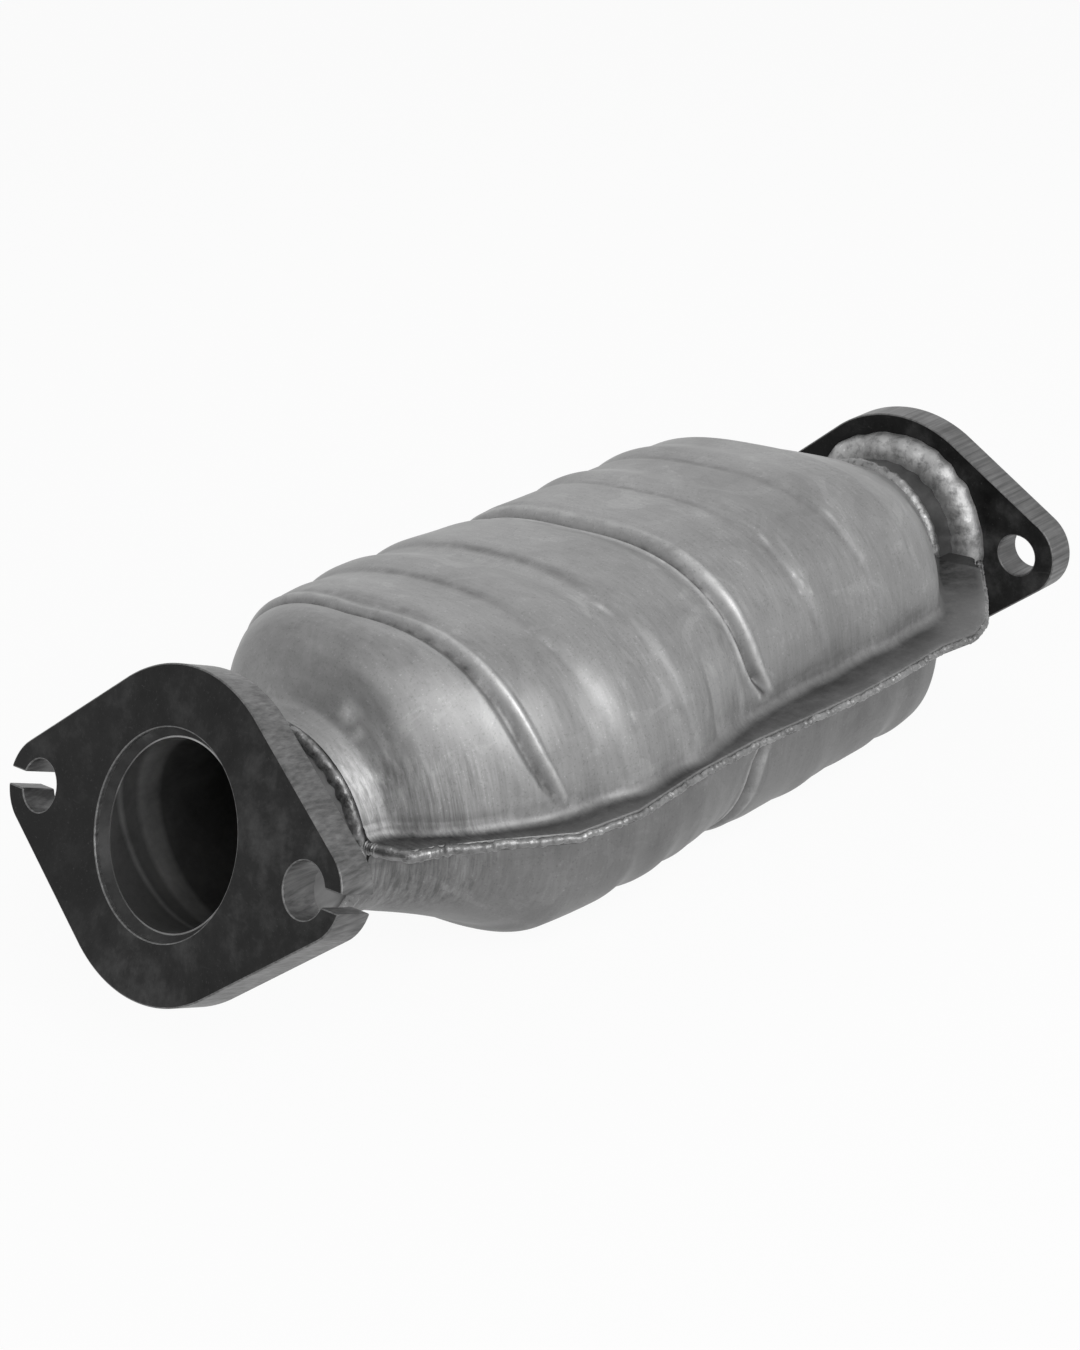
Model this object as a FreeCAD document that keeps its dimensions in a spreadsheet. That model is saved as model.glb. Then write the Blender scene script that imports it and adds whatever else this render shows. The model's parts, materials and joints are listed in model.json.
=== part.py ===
import FreeCAD, Part
import math
import os
import Sketcher
from FreeCAD import Vector

# Catalytic converter: a clamshell of two stamped half-shells round two honeycomb bricks, with a
# pitched keyhole flange on the inlet and an upright two-bolt flange on the outlet.
# Origin: centre of the bore in the inlet gasket face. +X runs to the outlet, +Z is up.
# The shells and all that is coaxial with them are drawn about the body axis and placed below it.

doc = FreeCAD.newDocument("converter")
sheet = doc.addObject("Spreadsheet::Sheet", "Sizes")

SIZES = [
    ("outlet_face_x", 311.0),
    ("elbow_x", 27.0),
    ("inlet_pitch", 22.4),
    ("plate", 10.0),
    ("bore_radius", 25.4),
    ("tube_fit", 0.2),
    ("tube_wall", 2.0),
    ("tube_recess", 3.0),
    ("bend_radius", 40.0),
    ("inlet_centre_radius", 40.7),
    ("inlet_ear_radius", 12.35),
    ("inlet_bolt_half", 48.9),
    ("inlet_hole_radius", 6.6),
    ("inlet_slit", 4.2),
    ("outlet_centre_radius", 38.8),
    ("outlet_ear_radius", 13.1),
    ("outlet_bolt_half", 45.25),
    ("outlet_hole_radius", 6.4),
    ("bore_fillet", 1.8),
    ("inlet_weld_length", 5.5),
    ("inlet_weld_height", 6.0),
    ("outlet_weld_length", 6.5),
    ("outlet_weld_height", 7.3),
    ("neck_weld_length", 3.4),
    ("neck_weld_height", 2.6),
    ("wall", 1.5),
    ("mouth_gap", 0.3),
    ("mouth_start_x", 39.0),
    ("mouth_overlap", 6.0),
    ("outlet_neck", 29.0),
    ("half_width", 57.8),
    ("upper_height", 47.8),
    ("lower_depth", 44.8),
    ("front_power", 2.6),
    ("rear_power", 2.8),
    ("lip", 13.7),
    ("lip_notch", 1.5),
    ("rear_lip", 7.0),
    ("seam_bead", 1.3),
    ("mat_side_gap", 2.1),
    ("mat_top_gap", 2.5),
    ("mat_bottom_gap", 4.3),
    ("mat_thickness", 4.5),
    ("seal_length", 8.0),
]
for line, (alias, value) in enumerate(SIZES, start=1):
    sheet.set("A%d" % line, alias)
    sheet.set("B%d" % line, str(value))
    sheet.setAlias("B%d" % line, alias)
doc.recompute()


def size(alias):
    return float(sheet.get(alias))


PITCH = math.radians(size("inlet_pitch"))
RISE = size("elbow_x") * math.tan(PITCH)
RISE_EXPR = "-Sizes.elbow_x * tan(Sizes.inlet_pitch)"
WALL = size("wall")
TUBE = size("bore_radius") - size("tube_fit")
TUBE_INSIDE = TUBE - size("tube_wall")
MOUTH = TUBE + size("mouth_gap") + WALL
FRONT = size("mouth_start_x")
REAR = size("outlet_face_x") - size("outlet_neck")
LENGTH = REAR - FRONT
AXIS_Y = Vector(0, 1, 0)


def along(fraction):
    """X of a point that lies at this fraction of the shell's length."""
    return FRONT + fraction * LENGTH


def between(keys, x):
    """Value at x of a curve given by (x, value) keys, straight between neighbours."""
    if x <= keys[0][0]:
        return keys[0][1]
    for (x0, v0), (x1, v1) in zip(keys, keys[1:]):
        if x <= x1:
            return v0 + (v1 - v0) * (x - x0) / (x1 - x0)
    return keys[-1][1]


# ---------------------------------------------------------------- placing

def on_body_axis(item):
    item.Placement.Base = Vector(0, 0, -RISE)
    item.setExpression(".Placement.Base.z", RISE_EXPR)


def on_inlet_axis(item):
    item.Placement.Rotation = FreeCAD.Rotation(AXIS_Y, size("inlet_pitch"))
    item.setExpression(".Placement.Rotation.Angle", "Sizes.inlet_pitch")


# ---------------------------------------------------------------- PartDesign helpers

def new_body(node):
    body = doc.addObject("PartDesign::Body", node)
    body.Label = node
    return body


def plane_sketch(body, role, name):
    sketch = body.newObject("Sketcher::SketchObject", name)
    plane = [item for item in body.Origin.OriginFeatures if item.Role == role][0]
    sketch.AttachmentSupport = [(plane, "")]
    sketch.MapMode = "FlatFace"
    return sketch


def closed_lines(sketch, points):
    for start, end in zip(points, points[1:] + points[:1]):
        sketch.addGeometry(Part.LineSegment(Vector(*start, 0), Vector(*end, 0)), False)


def circle(centre, radius):
    return Part.Circle(Vector(*centre, 0), Vector(0, 0, 1), radius)


def arc(sketch, centre, radius, start, end):
    sketch.addGeometry(Part.ArcOfCircle(circle(centre, radius), start, end), False)


def bound_circle(sketch, centre, alias):
    index = sketch.addGeometry(circle(centre, size(alias)), False)
    number = sketch.addConstraint(Sketcher.Constraint("Radius", index, size(alias)))
    sketch.setExpression("Constraints[%d]" % number, "Sizes." + alias)


def pad(body, sketch, length, alias=None):
    feature = body.newObject("PartDesign::Pad", sketch.Name + "_pad")
    feature.Profile = sketch
    feature.Length = length
    if alias:
        feature.setExpression("Length", "Sizes." + alias)
    sketch.Visibility = False
    doc.recompute()
    return feature


def cut_through(body, sketch):
    feature = body.newObject("PartDesign::Pocket", sketch.Name + "_cut")
    feature.Profile = sketch
    feature.Type = 1
    feature.Reversed = True
    doc.recompute()
    return feature


def revolve(body, sketch):
    feature = body.newObject("PartDesign::Revolution", sketch.Name + "_turn")
    feature.Profile = sketch
    axis = [item for item in body.Origin.OriginFeatures if item.Role == "X_Axis"][0]
    feature.ReferenceAxis = (axis, [""])
    feature.Angle = 360
    doc.recompute()
    return feature


# ---------------------------------------------------------------- flanges

def diamond(sketch, centre_radius, ear_radius, bolt_half):
    """Two-bolt outline: a round middle, a round ear at each bolt and tangent sides."""
    lean = math.acos((centre_radius - ear_radius) / bolt_half)
    for side in (1, -1):
        arc(sketch, (0, 0), centre_radius, *sorted((side * lean, side * (math.pi - lean))))
    arc(sketch, (bolt_half, 0), ear_radius, -lean, lean)
    arc(sketch, (-bolt_half, 0), ear_radius, math.pi - lean, math.pi + lean)
    for left in (1, -1):
        for up in (1, -1):
            near = (left * centre_radius * math.cos(lean), up * centre_radius * math.sin(lean))
            far = (left * (bolt_half + ear_radius * math.cos(lean)), up * ear_radius * math.sin(lean))
            sketch.addGeometry(Part.LineSegment(Vector(*near, 0), Vector(*far, 0)), False)


def flange(node, prefix):
    body = new_body(node)
    outline = plane_sketch(body, "YZ_Plane", node + "_outline")
    bolt_half = size(prefix + "_bolt_half")
    diamond(outline, size(prefix + "_centre_radius"), size(prefix + "_ear_radius"), bolt_half)
    bound_circle(outline, (0, 0), "bore_radius")
    pad(body, outline, size("plate"), "plate")
    holes = plane_sketch(body, "YZ_Plane", node + "_holes")
    for side in (1, -1):
        bound_circle(holes, (side * bolt_half, 0), prefix + "_hole_radius")
    cut_through(body, holes)
    return body


SLIT_OVERRUN = 2.0


def inlet_flange():
    """The slits run from the holes out past the ears, so the flange slides over its studs."""
    body = flange("inlet_flange", "inlet")
    slits = plane_sketch(body, "YZ_Plane", "inlet_flange_slits")
    half = size("inlet_slit") / 2
    hole = size("inlet_bolt_half")
    beyond = hole + size("inlet_ear_radius") + SLIT_OVERRUN
    for side in (1, -1):
        corners = [(side * hole, -half), (side * beyond, -half), (side * beyond, half), (side * hole, half)]
        closed_lines(slits, corners)
    cut_through(body, slits)
    on_inlet_axis(body)
    return body


def outlet_flange():
    body = flange("outlet_flange", "outlet")
    body.Placement.Base = Vector(size("outlet_face_x") - size("plate"), 0, -RISE)
    body.setExpression(".Placement.Base.x", "Sizes.outlet_face_x - Sizes.plate")
    body.setExpression(".Placement.Base.z", RISE_EXPR)
    return body


# ---------------------------------------------------------------- necks

def inlet_neck():
    """Tube that leaves the pitched flange square and bends to run level into the shell mouth."""
    inward = Vector(math.cos(PITCH), 0, -math.sin(PITCH))
    corner = Vector(size("elbow_x"), 0, -RISE)
    cut_back = size("bend_radius") * math.tan(PITCH / 2)
    start = inward * size("tube_recess")
    bend_in = corner - inward * cut_back
    bend_out = corner + Vector(cut_back, 0, 0)
    end = Vector(FRONT + size("mouth_overlap"), 0, -RISE)
    centre = bend_out + Vector(0, 0, size("bend_radius"))
    crown = centre + (corner - centre).normalize() * size("bend_radius")
    path = Part.Wire([
        Part.makeLine(start, bend_in),
        Part.Arc(bend_in, crown, bend_out).toShape(),
        Part.makeLine(bend_out, end),
    ])
    solids = []
    for radius in (TUBE, TUBE_INSIDE):
        ring = Part.Wire(Part.makeCircle(radius, start, inward))
        solids.append(path.makePipeShell([ring], True, False))
    item = doc.addObject("Part::Feature", "inlet_neck")
    item.Label = "inlet_neck"
    item.Shape = solids[0].cut(solids[1])
    return item


def ring_body(node, profile):
    """Body of revolution about the X axis; the profile is drawn as (x, radius) corners."""
    body = new_body(node)
    sketch = plane_sketch(body, "XZ_Plane", node + "_profile")
    closed_lines(sketch, profile)
    revolve(body, sketch)
    return body


BEAD_SWELL = 0.68


def bead_body(node, foot_x, toe_x, inner, outer):
    """Weld bead round a tube: square at the foot, swelling down to the tube at the toe."""
    body = new_body(node)
    sketch = plane_sketch(body, "XZ_Plane", node + "_profile")
    middle = ((foot_x + toe_x) / 2, inner + (outer - inner) * BEAD_SWELL)
    foot = Vector(foot_x, outer, 0)
    toe = Vector(toe_x, inner, 0)
    sketch.addGeometry(Part.Arc(foot, Vector(*middle, 0), toe), False)
    sketch.addGeometry(Part.LineSegment(toe, Vector(foot_x, inner, 0)), False)
    sketch.addGeometry(Part.LineSegment(Vector(foot_x, inner, 0), foot), False)
    revolve(body, sketch)
    return body


def outlet_neck():
    end = size("outlet_face_x") - size("tube_recess")
    start = REAR - size("mouth_overlap")
    profile = [(start, TUBE_INSIDE), (end, TUBE_INSIDE), (end, TUBE), (start, TUBE)]
    body = ring_body("outlet_neck", profile)
    on_body_axis(body)
    return body


# ---------------------------------------------------------------- welds

def inlet_welds():
    """Bead behind the inlet flange, and the fillet from the tube's end to the flange's bore."""
    plate, recess, bore = size("plate"), size("tube_recess"), size("bore_radius")
    fillet = size("bore_fillet")
    corner = [(recess, bore - fillet), (recess, bore), (recess - fillet, bore)]
    length, height = size("inlet_weld_length"), size("inlet_weld_height")
    items = [
        bead_body("inlet_flange_weld", plate, plate + length, TUBE, TUBE + height),
        ring_body("inlet_bore_weld", corner),
    ]
    for item in items:
        on_inlet_axis(item)
    return items


def level_welds():
    """Beads round the necks at both shell mouths, and the heavy one at the outlet flange."""
    face = size("outlet_face_x") - size("plate")
    reach, crown = size("neck_weld_length"), TUBE + size("neck_weld_height")
    length, height = size("outlet_weld_length"), size("outlet_weld_height")
    items = [
        bead_body("inlet_neck_weld", FRONT, FRONT - reach, TUBE, crown),
        bead_body("outlet_neck_weld", REAR, REAR + reach, TUBE, crown),
        bead_body("outlet_flange_weld", face, face - length, TUBE, TUBE + height),
    ]
    for item in items:
        on_body_axis(item)
    return items


# ---------------------------------------------------------------- stamped half-shells

# Width and height keys: fraction of the shell's length, then how far the size has grown from the
# mouth's radius, 0, to the full half-width or height, 1.
# Bands: fraction, depth pressed in or, where negative, raised, and half-length.
UPPER_WIDTHS = [(0.000, 0.000), (0.020, 0.080), (0.053, 0.399), (0.078, 0.606), (0.107, 0.784),
                (0.140, 0.953), (0.200, 1.084), (0.250, 1.197), (0.330, 1.206), (0.385, 1.113),
                (0.520, 1.000), (0.780, 1.000), (0.826, 0.953), (0.860, 0.812), (0.905, 0.550),
                (0.950, 0.259), (1.000, 0.000)]
UPPER_HEIGHTS = [(0.000, 0.000), (0.021, 0.058), (0.037, 0.368), (0.053, 0.770), (0.070, 0.931),
                 (0.086, 0.966), (0.111, 0.949), (0.144, 0.991), (0.385, 0.995), (0.498, 1.000),
                 (0.778, 1.009), (0.797, 0.920), (0.827, 0.793), (0.909, 0.442), (0.971, 0.118),
                 (1.000, 0.000)]
UPPER_BANDS = [(0.206, 0.9, 9.0), (0.300, 1.8, 10.0), (0.440, 2.6, 10.0), (0.597, -1.3, 8.0),
               (0.712, -1.3, 9.0)]
LOWER_WIDTHS = [(0.000, 0.000), (0.030, 0.118), (0.070, 0.456), (0.110, 0.756), (0.140, 0.916),
                (0.165, 1.000), (0.250, 1.150), (0.330, 1.169), (0.385, 1.094), (0.520, 1.000),
                (0.780, 1.000), (0.826, 0.953), (0.860, 0.812), (0.905, 0.550), (0.950, 0.259),
                (1.000, 0.000)]
LOWER_HEIGHTS = [(0.000, 0.000), (0.030, 0.000), (0.053, 0.089), (0.086, 0.258), (0.119, 0.476),
                 (0.144, 0.673), (0.160, 0.862), (0.172, 0.937), (0.250, 0.904), (0.385, 0.904),
                 (0.480, 0.945), (0.514, 1.000), (0.794, 1.000), (0.827, 0.995), (0.844, 0.955),
                 (0.877, 0.781), (0.942, 0.346), (1.000, 0.000)]
LOWER_BANDS = [(0.267, 1.1, 8.0), (0.335, 1.1, 7.0), (0.424, 1.8, 9.0), (0.597, -0.7, 9.0),
               (0.663, 0.3, 7.0), (0.765, 1.0, 8.0)]
UPPER = (UPPER_WIDTHS, UPPER_HEIGHTS, UPPER_BANDS)
LOWER = (LOWER_WIDTHS, LOWER_HEIGHTS, LOWER_BANDS)
SECTION_POINTS = 11
NEAREST_SECTIONS = 2.5
STEEPEST_WALL = 1.2
WAIST = 0.44
ROUND_AT_INLET = 0.13
ROUND_AT_OUTLET = 0.17


def dip(x, centre, half, depth):
    """Depth of a rounded groove pressed in at the centre, nothing beyond its half-width."""
    offset = abs(x - centre) / half
    return depth * 0.5 * (1 + math.cos(math.pi * offset)) if offset < 1 else 0.0


def stations(shape):
    """X of every section: the keys plus the middle and both shoulders of each band."""
    found = {round(along(key[0]), 3) for keys in shape[:2] for key in keys}
    for fraction, _, half in shape[2]:
        centre = along(fraction)
        found = {x for x in found if abs(x - centre) > half}
        found |= {round(centre + step * half, 3) for step in (-1, 0, 1)}
    thinned = []
    for x in sorted(found):
        if not thinned or x - thinned[-1] > NEAREST_SECTIONS:
            thinned.append(x)
    return thinned[:-1] + [REAR]


def outer_size(x, shape, height):
    """Half-width and height of the outside at x."""
    sizes = []
    for keys, full in zip(shape[:2], (size("half_width"), height)):
        places = [(along(fraction), MOUTH + grown * (full - MOUTH)) for fraction, grown in keys]
        sizes.append(between(places, x))
    pressed = sum(dip(x, along(fraction), half, depth) for fraction, depth, half in shape[2])
    return [value - pressed for value in sizes]


def power_at(x):
    """Round at both mouths, squarer over the bricks."""
    fraction = (x - FRONT) / LENGTH
    full = size("front_power") if fraction < WAIST else size("rear_power")
    squareness = min(1.0, fraction / ROUND_AT_INLET, (1.0 - fraction) / ROUND_AT_OUTLET)
    return 2.0 + (full - 2.0) * max(0.0, squareness)


def section(x, half_width, height, side):
    """Closed wire of half a superellipse, drawn as five arcs, standing on the parting plane."""
    power = power_at(x)
    points = []
    for step in range(SECTION_POINTS):
        angle = math.pi * step / (SECTION_POINTS - 1)
        cosine, sine = math.cos(angle), math.sin(angle)
        reach = ((abs(cosine) / half_width) ** power + (abs(sine) / height) ** power) ** (-1 / power)
        points.append(Vector(x, reach * cosine, side * reach * sine))
    arcs = [Part.Arc(*points[first:first + 3]).toShape() for first in range(0, SECTION_POINTS - 1, 2)]
    return Part.Wire(arcs + [Part.makeLine(points[-1], points[0])])


def skin(shape, height, side, inset):
    """Solid inside the outer face, or inside the wall when an inset is given."""
    places = stations(shape)
    sizes = [outer_size(x, shape, height) for x in places]
    wires = []
    for number, x in enumerate(places):
        before = max(number - 1, 0)
        after = min(number + 1, len(places) - 1)
        run = places[after] - places[before]
        reach = []
        for way in (0, 1):
            slope = (sizes[after][way] - sizes[before][way]) / run
            lean = min(abs(slope), STEEPEST_WALL)
            reach.append(sizes[number][way] - inset * math.sqrt(1 + lean ** 2))
        if number in (0, len(places) - 1):
            reach = [sizes[number][0] - inset] * 2
        wires.append(section(x, reach[0], reach[1], side))
    return Part.makeLoft(wires, True, True)


# The lip's width beyond the upper shell: fraction of the shell's length, then share of the size.
LIP_KEYS = [(0.004, 0.99), (0.033, 0.77), (0.079, 0.52), (0.136, 0.75), (0.211, 0.64), (0.322, 0.25),
            (0.417, 0.55), (0.483, 0.82), (0.583, 1.00), (0.661, 1.00), (0.752, 0.93), (0.806, 1.13),
            (0.850, 1.15), (0.922, 1.28)]
REAR_LIP_SHARE = 0.91


def lip_points(outward=0.0):
    """Right-hand edge of the lip, front to back, moved outward by this much."""
    lip = size("lip")
    points = []
    for fraction, share in LIP_KEYS:
        x = along(fraction)
        half_width = outer_size(x, UPPER, size("upper_height"))[0]
        points.append(Vector(x, half_width + share * lip, 0))
    points.append(Vector(REAR + size("rear_lip"), MOUTH + REAR_LIP_SHARE * lip, 0))
    moved = []
    for number, point in enumerate(points):
        way = points[min(number + 1, len(points) - 1)] - points[max(number - 1, 0)]
        way.normalize()
        moved.append(point + Vector(-way.y, way.x, 0) * outward)
    return moved


def lip_plate(side):
    """Flat rim of the stamping, notched behind the rear mouth to clear the outlet neck's weld."""
    right = lip_points()
    left = [Vector(point.x, -point.y, 0) for point in reversed(right)]
    outline = Part.makePolygon(right + left + right[:1])
    plate = Part.Face(outline).extrude(Vector(0, 0, side * WALL))
    reach = MOUTH + size("lip_notch")
    length, height = 2 * size("rear_lip"), 4 * WALL
    notch = Part.makeBox(length, 2 * reach, height, Vector(REAR, -reach, -height / 2))
    return plate.cut(notch)


def half_shell(node, shape, height, side):
    outside = skin(shape, height, side, 0.0)
    inside = skin(shape, height, side, WALL)
    item = doc.addObject("Part::Feature", node)
    item.Label = node
    item.Shape = outside.fuse(lip_plate(side)).cut(inside)
    on_body_axis(item)
    return item


def seam_weld(node, side):
    """Bead that closes the two lips along one long edge."""
    bead = size("seam_bead")
    edge = lip_points() + lip_points(bead)[::-1]
    corners = [Vector(point.x, side * point.y, -bead) for point in edge + edge[:1]]
    item = doc.addObject("Part::Feature", node)
    item.Label = node
    item.Shape = Part.Face(Part.makePolygon(corners)).extrude(Vector(0, 0, 2 * bead))
    on_body_axis(item)
    return item


# ---------------------------------------------------------------- bricks, mats and seals

CROWN_FLATNESS = 2.9
SIDE_FLATNESS = 1.38
CORNER_SHARE = 0.66


def oval(sketch, inset):
    """Flattened oval round a brick, clear of the shells: crowns, sides and corners as tangent arcs."""
    half_width = size("half_width") - WALL - size("mat_side_gap")
    top = size("upper_height") - WALL - size("mat_top_gap")
    bottom = size("lower_depth") - WALL - size("mat_bottom_gap")
    half_height, lift = (top + bottom) / 2, (top - bottom) / 2
    crown = CROWN_FLATNESS * half_height
    flank = SIDE_FLATNESS * half_width
    corner = CORNER_SHARE * half_height
    drop, shift = half_height - crown, half_width - flank
    # The corner's centre lies at (crown - corner) from one centre and (flank - corner) from the other.
    gap = math.hypot(shift, drop)
    long_leg, short_leg = crown - corner, flank - corner
    share = (long_leg ** 2 - short_leg ** 2 + gap ** 2) / (2 * gap)
    height = math.sqrt(long_leg ** 2 - share ** 2)
    unit = (shift / gap, -drop / gap)
    ends = [(unit[0] * share - way * unit[1] * height, drop + unit[1] * share + way * unit[0] * height)
            for way in (1, -1)]
    cy, cz = max(ends)
    crown_lean = math.atan2(cz - drop, cy)
    flank_lean = math.atan2(cz, cy - shift)
    for way in (0, math.pi):
        turn = -1 if way else 1
        arc(sketch, (0, lift + turn * drop), crown - inset, way + crown_lean, way + math.pi - crown_lean)
        arc(sketch, (turn * shift, lift), flank - inset, way - flank_lean, way + flank_lean)
        arc(sketch, (turn * cy, lift + turn * cz), corner - inset, way + flank_lean, way + crown_lean)
        arc(sketch, (-turn * cy, lift + turn * cz), corner - inset,
            way + math.pi - crown_lean, way + math.pi - flank_lean)


def oval_body(node, start, length, insets):
    body = new_body(node)
    sketch = plane_sketch(body, "YZ_Plane", node + "_section")
    for inset in insets:
        oval(sketch, inset)
    pad(body, sketch, length)
    body.Placement.Base = Vector(start, 0, -RISE)
    body.setExpression(".Placement.Base.z", RISE_EXPR)
    return body


def brick_set(prefix, start_share, end_share):
    """One honeycomb brick with its mat and the wire-mesh seal at each end of the mat."""
    start, end = along(start_share), along(end_share)
    seal, mat = size("seal_length"), size("mat_thickness")
    return [
        oval_body(prefix + "_monolith", start, end - start, (mat,)),
        oval_body(prefix + "_mat", start + seal, end - start - 2 * seal, (0, mat)),
        oval_body(prefix + "_mat_inlet_seal", start, seal, (0, mat)),
        oval_body(prefix + "_mat_outlet_seal", end - seal, seal, (0, mat)),
    ]


# ---------------------------------------------------------------- build and write

parts = [
    half_shell("upper_shell", UPPER, size("upper_height"), 1),
    half_shell("lower_shell", LOWER, size("lower_depth"), -1),
    inlet_flange(),
    outlet_flange(),
    inlet_neck(),
    outlet_neck(),
    seam_weld("seam_weld_left", 1),
    seam_weld("seam_weld_right", -1),
]
parts += inlet_welds()
parts += level_welds()
parts += brick_set("front", 0.172, 0.387)
parts += brick_set("rear", 0.490, 0.786)

doc.recompute()
for item in doc.Objects:
    if {"Invalid", "Error"} & set(item.State):
        raise RuntimeError(item.Name + " is not sound: " + str(item.State))
os.makedirs("parts", exist_ok=True)
for item in parts:
    if item.Shape.isNull() or not item.Shape.isValid() or len(item.Shape.Solids) != 1:
        raise RuntimeError(item.Label + " has no valid single solid")
    item.Shape.exportStep("parts/" + item.Label + ".step")
    print(item.Label, round(item.Shape.Volume), item.Shape.BoundBox)
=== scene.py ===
import json
import math
from collections import namedtuple

import bmesh
import bpy
import numpy as np
from mathutils import Matrix, Vector

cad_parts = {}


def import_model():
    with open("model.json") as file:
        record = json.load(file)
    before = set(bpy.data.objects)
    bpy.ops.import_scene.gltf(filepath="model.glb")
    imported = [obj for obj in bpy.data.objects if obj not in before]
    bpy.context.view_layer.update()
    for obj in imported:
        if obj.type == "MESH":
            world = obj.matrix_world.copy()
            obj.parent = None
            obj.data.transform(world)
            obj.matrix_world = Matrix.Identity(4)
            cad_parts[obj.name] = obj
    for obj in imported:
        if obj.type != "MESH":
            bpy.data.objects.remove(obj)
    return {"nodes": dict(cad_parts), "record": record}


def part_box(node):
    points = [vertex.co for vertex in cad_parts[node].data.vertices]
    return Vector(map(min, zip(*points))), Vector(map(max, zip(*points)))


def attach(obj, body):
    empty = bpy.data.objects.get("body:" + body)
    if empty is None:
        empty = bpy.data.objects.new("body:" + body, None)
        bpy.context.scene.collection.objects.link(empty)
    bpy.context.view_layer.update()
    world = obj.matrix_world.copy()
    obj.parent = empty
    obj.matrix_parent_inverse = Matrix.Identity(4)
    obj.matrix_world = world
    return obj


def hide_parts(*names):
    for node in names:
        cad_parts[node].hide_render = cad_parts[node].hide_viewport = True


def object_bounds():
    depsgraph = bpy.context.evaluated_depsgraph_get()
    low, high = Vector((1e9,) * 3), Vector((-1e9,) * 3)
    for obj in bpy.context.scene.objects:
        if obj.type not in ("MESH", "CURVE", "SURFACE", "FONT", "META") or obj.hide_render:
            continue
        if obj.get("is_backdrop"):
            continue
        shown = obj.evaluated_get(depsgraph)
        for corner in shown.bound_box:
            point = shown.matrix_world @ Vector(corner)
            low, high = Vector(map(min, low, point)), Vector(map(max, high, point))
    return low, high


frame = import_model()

# Catalytic converter, in metres. +X runs from the inlet to the outlet and +Z is up.
CAD_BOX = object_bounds()
MM = 0.001
RECORD = frame["record"]
MOUNTS = {mount["name"]: mount for mount in RECORD["mounts"]}

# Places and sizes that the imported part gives.
AXIS_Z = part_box("lower_shell")[1].z
FRONT, LIP_END = (corner.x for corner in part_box("upper_shell"))
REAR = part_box("outlet_neck_weld")[0].x
LENGTH = REAR - FRONT
OUTLET_BACK, OUTLET_FACE = (corner.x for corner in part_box("outlet_flange"))
PLATE = OUTLET_FACE - OUTLET_BACK
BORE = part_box("inlet_bore_weld")[1].y
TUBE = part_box("outlet_neck")[1].y
PITCHED = Matrix.Rotation(math.asin(MOUNTS["inlet_bolts"]["axis"][2]), 4, "Y")
ON_AXIS = Matrix.Translation((0, 0, AXIS_Z))

# Sizes of the stamped sheet.
HALF_WIDTH = 57.8 * MM
UPPER_HEIGHT = 47.7 * MM
LOWER_DEPTH = 44.7 * MM
LIP = 13.7 * MM
MOUTH = 27.0 * MM
WALL = 1.5 * MM
FRONT_POWER = 2.6
REAR_POWER = 2.8


# ---------------------------------------------------------------- node helpers

def shade(level):
    """RGBA of a colour, or of a grey given as one number."""
    return (level, level, level, 1) if isinstance(level, (int, float)) else (*level, 1)


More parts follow.
